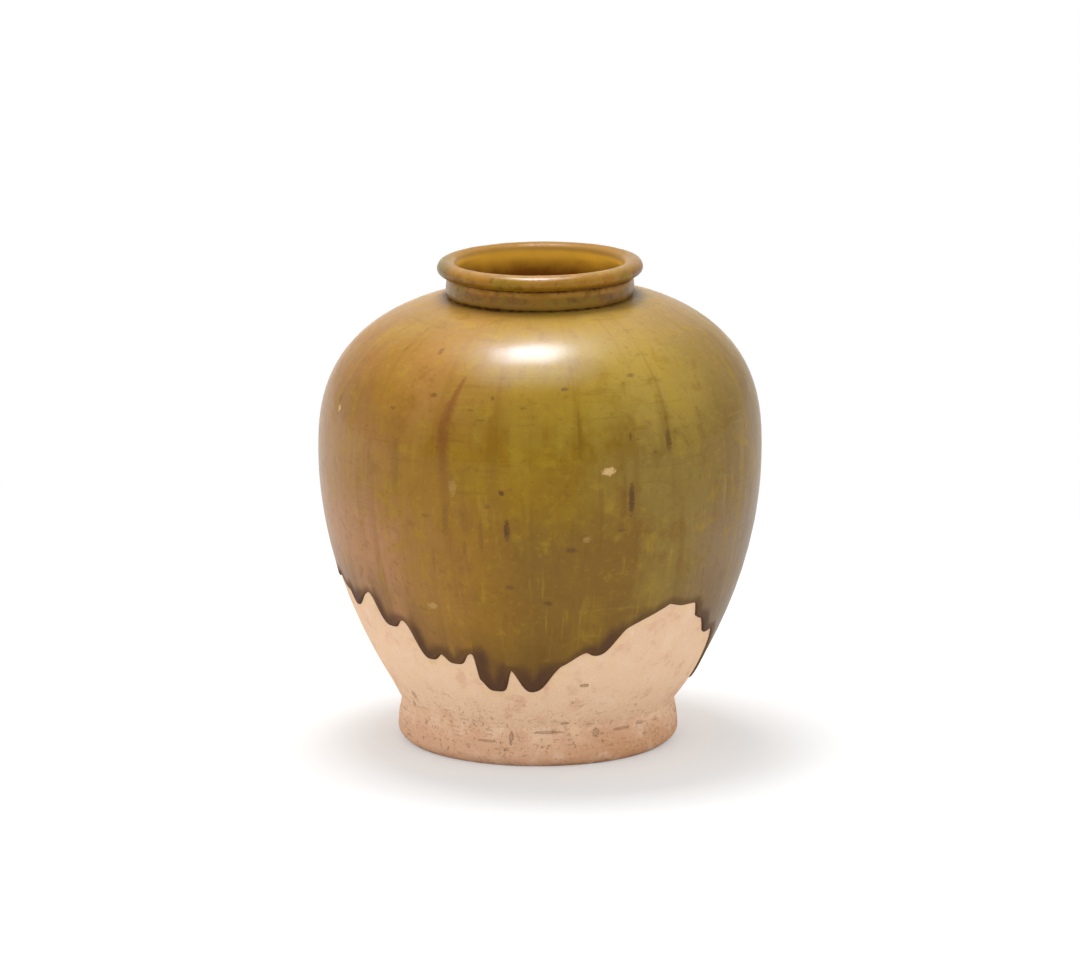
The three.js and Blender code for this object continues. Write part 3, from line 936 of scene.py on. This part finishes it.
def even_columns(angles, heights, radius, count):
    """The same edge with evenly spaced points, so that steep flanks get as many as level ones."""
    angles = np.append(angles, angles[0] + 360)
    heights = np.append(heights, heights[0])
    steps = np.hypot(np.diff(np.radians(angles)) * radius, np.diff(heights))
    travelled = np.concatenate([[0], np.cumsum(steps)])
    wanted = np.linspace(0, travelled[-1], count, endpoint=False)
    print("the edge is", round(travelled[-1] / mm), "mm long")
    return np.interp(wanted, travelled, angles), np.interp(wanted, travelled, heights)


def on_wall(angle, radius, z):
    return radius * math.sin(math.radians(angle)), -radius * math.cos(math.radians(angle)), z


coat_columns = 840
radius_near_edge = 84 * mm
edge_angles, edge_heights = even_columns(*run_edge_line(), radius_near_edge, coat_columns)
edge_points = [on_wall(a, lower_radius(z), z) for a, z in zip(edge_angles, edge_heights)]
clay_edge_guide = guide_mesh("clay_edge_guide", edge_points, True)

# %% [markdown]
# ## Foot and lower bowl
# The foot is a thick turned disc that flares out from the waist and is bevelled where it stands.
# It and the lower bowl are bare, so their profiles are closely spaced for the throwing rings. Each
# has the scored groove that its ring of slip is keyed into.

# %% Turn the foot and the lower bowl
lute_half_width = 2.1 * mm
lute_depth = 1.7 * mm
sharp_angle = math.radians(38)
fine_columns = 360


def groove(radius, z, half_width, depth):
    return [(radius + half_width, z), (radius, z + depth), (radius - half_width, z)]


def turn(name, points, columns, material, run_edge=None):
    piece = guide_mesh(name, [(r, 0, z) for r, z in points], True)
    values = {"Columns": columns, "Material": material}
    if run_edge:
        values["Run edge"] = run_edge
    grown(piece, turning, values)
    piece.data.set_sharp_from_angle(angle=sharp_angle)
    return piece


base_inner = inner_radius(foot_height)
belly_inner = inner_radius(belly_joint)
base_lute = (waist_radius + base_inner) / 2
belly_lute = (lower_radius(belly_joint) + belly_inner) / 2

fillet = 5 * mm
foot_profile = [
    *[(r * mm, 0) for r in (0, 15, 30, 45, 55)],
    *wall_points(lower_radius, 0, bevel_height, 8),
    *wall_points(lower_radius, bevel_height, foot_height, 18)[1:],
    *groove(base_lute, foot_height, lute_half_width, -lute_depth),
    (base_inner, foot_height),
    *arc(base_inner - fillet, floor_thickness + fillet, fillet, fillet, -20, -90, 6),
    *[(r * mm, floor_thickness) for r in (30, 15, 0)],
]
foot_base = turn("turned_foot", foot_profile, fine_columns, foot_clay)

lower_profile = [
    *wall_points(lower_radius, foot_height, belly_joint, 84),
    *groove(belly_lute, belly_joint, lute_half_width, -lute_depth),
    *wall_points(inner_radius, belly_joint, foot_height, 34),
    *groove(base_lute, foot_height, lute_half_width, lute_depth)[::-1],
]
lower_body = turn("lower_bowl", lower_profile, fine_columns, body_clay, clay_edge_guide)

# %% [markdown]
# ## Upper bowl, neck and lip
# The upper bowl was thrown the same way, turned over and joined at the belly. The neck is a low
# rounded band, and the rim is rolled over it. Glaze covers all three, so they need fewer rows.

# %% Turn the upper bowl
coarse_columns = 240
neck_lute_half_width = 1.25 * mm
neck_lute_depth = 1 * mm
shoulder_outer = shoulder_curve(girth_radius, shoulder_rise, seat_edge_radius, 24)
shoulder_inner = shoulder_curve(
    girth_radius - wall_at_belly, shoulder_rise - wall_at_neck, bore_radius + bore_fillet, 24
)[::-1]
bore_foot = shoulder_inner[0][1] + bore_fillet
neck_waist = neck_radius - neck_groove
neck_lute = (bore_radius + neck_waist) / 2

upper_profile = [
    *wall_points(lower_radius, belly_joint, girth_height, 4),
    *shoulder_outer[1:],
    *groove(neck_lute, shoulder_height, neck_lute_half_width, -neck_lute_depth),
    (bore_radius, shoulder_height),
    *arc(bore_radius + bore_fillet, bore_foot, bore_fillet, bore_fillet, 180, 270, 5),
    *shoulder_inner[1:],
    (belly_inner, belly_joint),
    *groove(belly_lute, belly_joint, lute_half_width, lute_depth)[::-1],
]
upper_body = turn("upper_bowl", upper_profile, coarse_columns, body_clay)

# %% Turn the neck and the lip
band_foot = 3.4 * mm
band_crown = 4.2 * mm
band_depth = 1.7 * mm
neck_outer = [
    (neck_waist, shoulder_height),
    *arc(neck_radius - band_depth, shoulder_height + band_foot, band_depth, band_foot, -60, 0, 6),
    *arc(neck_radius - band_depth, lip_seat - band_crown, band_depth, band_crown, 0, 90, 12),
]
neck_profile = [
    *neck_outer,
    (bore_radius, lip_seat),
    (bore_radius, shoulder_height),
    *groove(neck_lute, shoulder_height, neck_lute_half_width, neck_lute_depth)[::-1],
]
neck_ring = turn("neck_band", neck_profile, coarse_columns, body_clay)

bend = 0.35
throat = [
    (
        between(bore_radius, lip_ring_radius - lip_half_width, bend),
        between(lip_seat, lip_centre, bend),
    ),
    (bore_radius, lip_seat),
]
lip_profile = [(neck_outer[-1][0], lip_seat), *lip_arc(-96, 180, 26), *throat]
rolled_lip = turn("lip_roll", lip_profile, coarse_columns, body_clay)

# %% [markdown]
# ## A coat that runs
# The glaze is one closed skin: an outer face over lip, neck, shoulder and wall, a thick rounded
# bead where it stopped, and an inner face sunk into the clay. A Solidify modifier would give an
# even sheet with a cut edge, so three guides are read instead. The run edge says how far each
# column reaches, the section how the clay goes from lip to foot, and the row plan how far along it
# each row lies.

# %% The tree for a coat of glaze
coat_inputs = {
    "Section": "Object", "Row plan": "Object", "Side": "Float", "Coat": "Float", "Bead": "Float",
    "Bead width": "Float", "Rim": "Float", "Sunk": "Float", "Material": "Material",
}
coating, given = new_tree("running_coat", coat_inputs)
edge = given["Geometry"]
plan = geometry_of(given["Row plan"])
section = geometry_of(given["Section"])
grid, column, row = grid_of(count_points(edge), count_points(plan))
degrees, reach, drip = read_numbers(edge, ("angle", "reach", "drip"), column)
along, toward, back, outside = read_numbers(plan, ("along", "toward", "back", "outside"), row)
turn_angle = degrees * degree

travelled = along * (1.0 - toward) + (reach - back) * toward
sample = {"Curves": section, "Length": travelled}
on_section = edge.node("GeometryNodeSampleCurve", {"mode": "LENGTH"}, sample, "Position")
section_r, _, section_z = split(on_section)
forward_r, _, forward_z = split(on_section.other("Tangent"))
ground = turned_point(section_r, turn_angle, section_z)
print("the coat knows where it lies on the clay")

# %% Thickness of the coat
flow_depth = 0.16 * mm
inner_gap = 0.15 * mm
top_rim = 1.5 * mm


def rounded(distance, size):
    """Grows from 0 to 1 as a quarter circle does."""
    left = 1.0 - (distance / size).least(1.0)
    return edge.math("SQRT", 1.0 - left * left)


edge_distance = distance_to(edge, ground)
rim_size = given["Rim"] * (drip * 1.1 + 0.55)
hump = edge_distance.fade(given["Bead width"], given["Bead width"] * 0.16) * drip * given["Bead"]
across, deep, up = split(ground)
flow = (noise(join(across, deep, up * 0.12), 150.0) - 0.5) * flow_depth
thickness = (given["Coat"] + hump + flow) * rounded(edge_distance, rim_size)
thickness = thickness * rounded(travelled, top_rim)
lift = (outside * thickness - given["Sunk"] - (1.0 - outside) * inner_gap) * given["Side"]
lifted_r = section_r - forward_z * lift
lifted_z = section_z + forward_r * lift
grid = stored(stored(grid, "edge_distance", edge_distance), "drip", drip)
place = moved_by_hand(lifted_r, turn_angle, lifted_z, shift_by_hand(ground, section_r))
finish_tree(moved_and_merged(grid, place), given["Material"])
print("running_coat nodes:", len(coating.nodes))

# %% [markdown]
# ## Section guides
# Glaze pools in the groove under the lip and at the foot of the neck, and so softens every corner.
# Its section is the clay's own outline with the corners averaged away.

# %% Sections that the glaze follows
def lengths_of(points):
    """How far along a path each of its points lies."""
    return np.concatenate([[0], np.cumsum(np.hypot(*np.diff(points, axis=0).T))])


def lengths_at(heights, path, lengths):
    """How far along a path that leads down these heights lie."""
    return np.interp(-heights, -path[:, 1], lengths)


def softened(path, spread, step):
    """The path in even steps, each point averaged with its neighbours; the ends stay."""
    travelled = lengths_of(path)
    wanted = np.linspace(0, travelled[-1], round(travelled[-1] / step) + 1)
    points = np.stack([np.interp(wanted, travelled, side) for side in np.transpose(path)], axis=1)
    half = round(spread / step)
    soft = points.copy()
    for i in range(1, len(points) - 1):
        near = min(half, i, len(points) - 1 - i)
        soft[i] = points[i - near:i + near + 1].mean(axis=0)
    return soft


def section_guide(name, points):
    curve = bpy.data.curves.new(name, "CURVE")
    curve.dimensions = "3D"
    line = curve.splines.new("POLY")
    line.points.add(len(points) - 1)
    for target, (r, z) in zip(line.points, points):
        target.co = (r, 0, z, 1)
    return new_object(name, curve)


outer_path = softened(
    [
        *lip_arc(132, -96, 60),
        *neck_outer[::-1],
        *shoulder_curve(girth_radius, shoulder_rise, seat_edge_radius, 90)[::-1],
        *wall_points(lower_radius, girth_height, 24 * mm, 110)[1:],
    ],
    spread=0.5 * mm,
    step=0.1 * mm,
)
outer_lengths = lengths_of(outer_path)
outer_section = section_guide("outer_section", outer_path)
print("outer section:", len(outer_path), "points,", round(outer_lengths[-1] / mm, 1), "mm")

# %% [markdown]
# ## Row plans
# Rows are close together over the roll and the neck, wide on the shoulder, and very close again at
# the bead. The inner face is never seen, so it has a third as many.

# %% Row plans
bead_rows = [14, 11, 8.6, 6.7, 5.1, 3.9, 2.9, 2.1, 1.45, 0.95, 0.55, 0.26, 0.08, 0]
bead_reach = bead_rows[0] * mm


def zone_rows(zones, outside):
    """Rows at fixed places; a zone is where it ends along the section, and how many rows it has."""
    start = 0.0
    rows = []
    for end, count in zones:
        rows += [(between(start, end, k / count), 0, 0, outside) for k in range(count)]
        start = end
    return rows + [(start, 0, 0, outside)]


def row_plan(name, zones, inner_zones):
    """Down the outer face, round the bead, and back up the inner face."""
    last = zones[-1][0]
    rows = zone_rows(zones, 1)
    rows += [(last, k / 6, bead_reach, 1) for k in range(1, 6)]
    rows += [(last, 1, distance * mm, 1) for distance in bead_rows]
    rows += [(last, 1, distance * mm, 0) for distance in (0, 3, 9)]
    rows += [(last, share, bead_reach, 0) for share in (0.75, 0.4)]
    rows += zone_rows(inner_zones, 0)[::-1]
    values = dict(zip(("along", "toward", "back", "outside"), zip(*rows)))
    print(name, "has", len(rows), "rows")
    return guide_mesh(name, [(k * mm, 0, 0) for k in range(len(rows))], False, values)


roll_end = 13.4 * mm
neck_end = roll_end + 14 * mm
past_neck = outer_lengths > neck_end
run_top = float(lengths_at(100 * mm, outer_path[past_neck], outer_lengths[past_neck]))
outer_plan = row_plan(
    "outer_plan",
    [(roll_end, 14), (neck_end, 20), (run_top, 28)],
    [(roll_end, 8), (neck_end, 10), (run_top, 10)],
)

# %% [markdown]
# ## The outer coat
# Every column knows its angle, how far along the section it reaches, and how fat its drip is. A
# drip is fat where the edge hangs below the mean of its neighbours, and thin in the bare notches.

# %% Coat the outside
def neighbours_mean(values, reach):
    """The mean of each value and its neighbours, all round the jar."""
    return np.array([np.roll(values, k) for k in range(-reach, reach + 1)]).mean(axis=0)


def drip_fatness(heights):
    """0.2 in a bare notch, up to 1 in the tip of a drip."""
    hang = neighbours_mean(heights, 22) - neighbours_mean(heights, 2)
    return neighbours_mean(np.clip(0.45 + hang / (9 * mm), 0.2, 1.0), 4)


def coat(name, angles, reaches, fatness, path, lengths, values):
    points = []
    for angle, distance in zip(angles, reaches):
        r, z = [float(np.interp(distance, lengths, side)) for side in path.T]
        points.append(on_wall(angle, r, z))
    numbers = {"angle": angles, "reach": reaches, "drip": fatness}
    same = {"Bead": 0.5 * mm, "Rim": 1.2 * mm, "Sunk": 0.1 * mm}
    return grown(guide_mesh(name, points, True, numbers), coating, values | same)


below_girth = outer_path[:, 1] < girth_height
edge_reaches = lengths_at(edge_heights, outer_path[below_girth], outer_lengths[below_girth])
outer_glaze = coat(
    "running_glaze", edge_angles, edge_reaches, drip_fatness(edge_heights),
    outer_path, outer_lengths,
    {
        "Section": outer_section, "Row plan": outer_plan, "Side": 1.0, "Coat": 0.65 * mm,
        "Bead width": 7 * mm, "Material": amber_glaze,
    },
)

# %% [markdown]
# ## The mouth's coat
# Glaze was swilled round the mouth too. It covers the inside of the roll and the neck, and ends
# unevenly a little way under the shoulder. It starts just under the outer coat, so the two look
# like one.

# %% Coat the mouth
mouth_path = softened(
    [
        *lip_arc(84, 180, 24),
        *throat,
        *arc(bore_radius + bore_fillet, bore_foot, bore_fillet, bore_fillet, 180, 270, 8),
        *[point for point in shoulder_inner[1:] if point[0] < 80 * mm],
    ],
    spread=0.8 * mm,
    step=0.2 * mm,
)
mouth_lengths = lengths_of(mouth_path)
mouth_section = section_guide("mouth_section", mouth_path)
mouth_zone = float(lengths_at(bore_foot, mouth_path, mouth_lengths))
mouth_plan = row_plan("mouth_plan", [(mouth_zone, 26)], [(mouth_zone, 14)])
mouth_columns = 240
mouth_angles = np.arange(mouth_columns) * 360 / mouth_columns
turns = np.radians(mouth_angles)
run_in = 20 + 1.8 * np.sin(3 * turns + 0.6) + 1.1 * np.sin(7 * turns + 2.1)
run_in += 0.6 * np.sin(16 * turns)
mouth_reaches = mouth_zone + run_in * mm
mouth_glaze = coat(
    "mouth_coat", mouth_angles, mouth_reaches, np.full(mouth_columns, 0.45),
    mouth_path, mouth_lengths,
    {
        "Section": mouth_section, "Row plan": mouth_plan, "Side": -1.0, "Coat": 0.7 * mm,
        "Bead width": 6 * mm, "Material": ochre_glaze,
    },
)

guides = (clay_edge_guide, outer_section, outer_plan, mouth_section, mouth_plan)
for guide in guides:
    bpy.data.objects.remove(guide)
print("guides removed:", len(guides))

# %% [markdown]
# ## What rides on what
# A fired pot has no moving part, so everything rides on the root body. Each new piece stands for
# the solid in its place. The rings of slip are hidden in the joints; their solids stay and get the
# slip's own finish.

# %% Hand the pieces over
stands_for = {
    foot_base: ("foot_base", "foot_clay"),
    lower_body: ("lower_body", "body_clay"),
    upper_body: ("upper_body", "body_clay"),
    neck_ring: ("neck_ring", "body_clay"),
    rolled_lip: ("rolled_lip", "body_clay"),
    outer_glaze: ("outer_glaze", "amber_glaze"),
    mouth_glaze: ("mouth_glaze", "ochre_glaze"),
}
for piece, (node, slot) in stands_for.items():
    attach(piece, "root")
    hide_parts(node)

for node in ("base_joint_slip", "belly_joint_slip", "neck_joint_slip"):
    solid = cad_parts[node]
    solid.data.materials.clear()
    solid.data.materials.append(slip_clay)
print("pieces:", len(stands_for), "new and 3 kept")

# %% [markdown]
# ## Camera
# A long lens from a little above. Its height, distance and aim follow from the shape of the mouth,
# the waist and the foot in the picture.

# %% Camera
camera_distance = 3.179
camera_rise = math.radians(12.44)
aim_height = 0.1138
sensor_width = 36
focal_length = 234.9
lens = bpy.data.cameras.new("camera")
lens.sensor_width = sensor_width
lens.lens = focal_length
camera = new_object("camera", lens)
camera.location = (
    0,
    -camera_distance * math.cos(camera_rise),
    aim_height + camera_distance * math.sin(camera_rise),
)
camera.rotation_euler = (math.pi / 2 - camera_rise, 0, 0)
bpy.context.scene.camera = camera
print("camera at", [round(value, 3) for value in camera.location])

# %% [markdown]
# ## Floor and light
# One soft box almost overhead makes the white patch on the shoulder and the round shadow. Near the
# jar the floor is partly its own light, so it looks white and keeps the shadow; farther out it is
# all its own light.

# %% Floor
bpy.context.scene.view_settings.view_transform = "Standard"
floor_reach = 8
floor_grey = 0.81
corners = [(x * floor_reach, y * floor_reach, 0) for x, y in ((-1, -1), (1, -1), (1, 1), (-1, 1))]
floor_mesh = bpy.data.meshes.new("floor")
floor_mesh.from_pydata(corners, [], [(0, 1, 2, 3)])


def rays(start):
    """1 for what the camera sees straight, and 1 for what a gloss mirrors."""
    camera_ray = start.node("ShaderNodeLightPath", output="Is Camera Ray")
    mirror_ray = camera_ray.other("Is Glossy Ray").most(camera_ray.other("Is Transmission Ray"))
    return camera_ray, mirror_ray


floor_paper, start = start_material("floor_paper")
at = places(start)
seen, mirrored = rays(start)
glow_share = seen * (at.radius.fade(230, 600) * 0.7 + 0.3) + mirrored * 0.9
strength = seen + mirrored * (at.y.fade(-100, 500) * 0.45 + at.x.fade(-60, -500) * 0.25 + 0.55)
grey = (floor_grey, floor_grey, floor_grey, 1)
lit = start.node("ShaderNodeBsdfDiffuse", sockets={"Color": grey})
glow = start.node("ShaderNodeEmission", sockets={"Color": (1, 1, 1, 1), "Strength": strength})
paper = start.node("ShaderNodeMixShader", sockets={0: glow_share, 1: lit, 2: glow})
paper.into("ShaderNodeOutputMaterial")
floor_mesh.materials.append(floor_paper)
new_object("floor", floor_mesh)
print("floor is", 2 * floor_reach, "m square")

# %% [markdown]
# ## Lamp and sky
# The lamp gives the light from above and the shadow. The glaze mirrors the box itself, bright in
# the middle and dimmer and cooler round it, so for gloss the box is drawn in the sky instead. The
# sky is white for the camera, a soft fill for the clay, and for gloss bright behind the jar and dim
# on the camera's side, where the studio is dark.

# %% Lamp
box_light = bpy.data.lights.new("overhead_box", "AREA")
box_light.shape = "RECTANGLE"
box_light.size = 0.46
box_light.size_y = 0.38
box_light.energy = 9.4
overhead_box = new_object("overhead_box", box_light)
overhead_box.location = (-0.08, 0.15, 1.15)
overhead_box.visible_glossy = False
lit_height = 0.15
aim = overhead_box.location.copy()
aim.z -= lit_height
overhead_box.rotation_euler = aim.to_track_quat("Z", "Y").to_euler()
print("box light", round(box_light.energy, 1), "W")

# %% Sky
sky_fill = 0.95
core_strength = 44.0
glow_strength = 11.5
cool_white = (0.68, 0.78, 1.0, 1)


def soft_patch(across, deep, half_width, half_depth, full):
    """1 in the middle of a rectangle of the sky, and softly down to 0 at its sides."""
    return across.away().fade(half_width, full) * deep.away().fade(half_depth, full)


world = bpy.data.worlds.new("studio")
bpy.context.scene.world = world
world.use_nodes = True
world.node_tree.nodes.clear()
start = Wire(world.node_tree)
seen, mirrored = rays(start)
x, y, z = split(start.node("ShaderNodeTexCoord", output="Generated"))
across = x / z.most(0.05) + 0.06
deep = y / z.most(0.05) - 0.185
box_core = soft_patch(across, deep, 0.26, 0.25, 0.05)
box_glow = soft_patch(across, deep + 0.12, 0.55, 0.68, 0.1)
room = y.fade(-0.2, 0.75) * (0.7 - x.fade(0.1, 0.7) * 0.25) + 0.15
gloss = room + (box_core * core_strength + box_glow * glow_strength) * z.fade(0.1, 0.3)
strength = seen + (1 - seen) * (mirrored * gloss + (1 - mirrored) * sky_fill)
tint = mixed((1, 1, 1, 1), cool_white, mirrored * box_core.most(box_glow).fade(0, 0.15))
sky = start.node("ShaderNodeBackground", sockets={"Color": tint, "Strength": strength})
sky.into("ShaderNodeOutputWorld")
print("sky fill", sky_fill)
